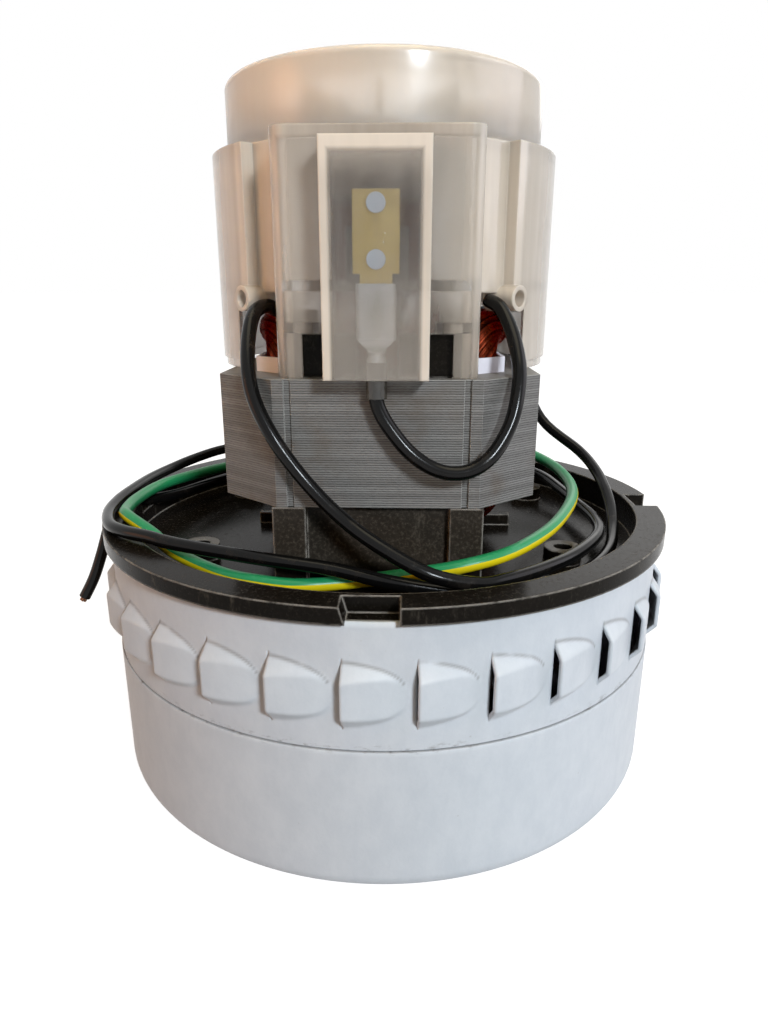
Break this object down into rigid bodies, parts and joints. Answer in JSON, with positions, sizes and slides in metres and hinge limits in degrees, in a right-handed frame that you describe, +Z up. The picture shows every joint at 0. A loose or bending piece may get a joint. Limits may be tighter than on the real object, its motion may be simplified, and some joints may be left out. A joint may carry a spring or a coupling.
{
  "type": "vacuum motor unit",
  "caption": "Two-stage vacuum motor: louvred steel fan case, black bracket with lead tray, laminated stator with copper coils, milky brush hood and round fan cowl.",
  "frame": {"origin": "on the shaft's axis at the fan case's sole", "axes": "+Z up along the shaft to the cowl, -Y to the front brush tower, +X to the right field coil seen from the front"},
  "size_m": [0.1564, 0.1455, 0.162],
  "materials": {
    "shell_paint": "satin",
    "inner_sheet": "satin",
    "bracket_black": "satin",
    "bright_steel": "satin",
    "laminations": "satin",
    "enamelled_copper": "gloss",
    "bar_copper": "satin",
    "liner_paper": "matte",
    "hood_milky": "satin",
    "holder_brass": "satin",
    "pale_rivet": "satin",
    "sleeve_clear": "gloss",
    "brush_carbon": "matte",
    "impeller_alloy": "satin",
    "fan_white": "satin",
    "lead_black": "gloss",
    "lead_green": "gloss"
  },
  "bodies": {
    "housing": {"lower_fan_shell": "shell_paint", "upper_fan_shell": "shell_paint", "stage_plate": "inner_sheet", "baffle_plate": "inner_sheet", "return_vanes": "inner_sheet", "fan_end_bracket": "bracket_black", "bearing_retainer": "bright_steel", "retainer_screws": "bright_steel", "lower_bearing_outer": "bright_steel", "upper_bearing_outer": "bright_steel", "stator_core": "laminations", "stator_screws": "bright_steel", "left_coil_core": "enamelled_copper", "right_coil_core": "enamelled_copper", "left_coil_winding": "enamelled_copper", "right_coil_winding": "enamelled_copper", "slot_liners": "liner_paper", "upper_insulators": "bracket_black", "brush_bracket": "hood_milky", "fan_cowl": "hood_milky", "front_brush_holder": "holder_brass", "rear_brush_holder": "holder_brass", "front_brush_rivets": "pale_rivet", "rear_brush_rivets": "pale_rivet", "front_brush_terminal": "bright_steel", "rear_brush_terminal": "bright_steel", "front_wire_sleeve": "sleeve_clear", "rear_wire_sleeve": "sleeve_clear", "front_brush_spring": "bright_steel", "rear_brush_spring": "bright_steel", "earth_terminal": "bright_steel", "earth_screw": "bright_steel", "front_jumper": "lead_black", "rear_jumper": "lead_black", "live_lead": "lead_black", "neutral_lead": "lead_black", "earth_lead": "lead_green"},
    "rotor": {"shaft": "bright_steel", "armature_core": "laminations", "armature_winding": "enamelled_copper", "commutator": "bar_copper", "lower_bearing_inner": "bright_steel", "upper_bearing_inner": "bright_steel", "first_hub_plate": "impeller_alloy", "first_blades": "impeller_alloy", "first_shroud": "impeller_alloy", "second_hub_plate": "impeller_alloy", "second_blades": "impeller_alloy", "second_shroud": "impeller_alloy", "impeller_spacers": "bright_steel", "impeller_washers": "bright_steel", "impeller_nut": "bright_steel", "cooling_fan": "fan_white", "cooling_fan_clip": "bright_steel"},
    "lower_balls": {"lower_bearing_balls": "bright_steel"},
    "upper_balls": {"upper_bearing_balls": "bright_steel"},
    "front_brush": {"front_brush": "brush_carbon"},
    "rear_brush": {"rear_brush": "brush_carbon"}
  },
  "joints": [
    {"name": "rotor_spin", "type": "hinge", "parent": "housing", "child": "rotor", "pos_m": [0, 0, 0.088], "axis": [0, 0, 1], "continuous": true},
    {"name": "lower_balls_spin", "type": "hinge", "parent": "housing", "child": "lower_balls", "pos_m": [0, 0, 0.0602], "axis": [0, 0, 1], "continuous": true},
    {"name": "upper_balls_spin", "type": "hinge", "parent": "housing", "child": "upper_balls", "pos_m": [0, 0, 0.1435], "axis": [0, 0, 1], "continuous": true},
    {"name": "front_brush_slide", "type": "slide", "parent": "housing", "child": "front_brush", "axis": [0, -1, 0], "range_m": [0, 0.004], "stiffness_N_per_m": 150, "springref_m": -0.01, "deforming": ["front_brush_spring"]},
    {"name": "rear_brush_slide", "type": "slide", "parent": "housing", "child": "rear_brush", "axis": [0, 1, 0], "range_m": [0, 0.004], "stiffness_N_per_m": 150, "springref_m": -0.01, "deforming": ["rear_brush_spring"]}
  ],
  "couplings": [
    {"joint": "lower_balls_spin", "follows": "rotor_spin", "ratio": 0.38},
    {"joint": "upper_balls_spin", "follows": "rotor_spin", "ratio": 0.38}
  ]
}
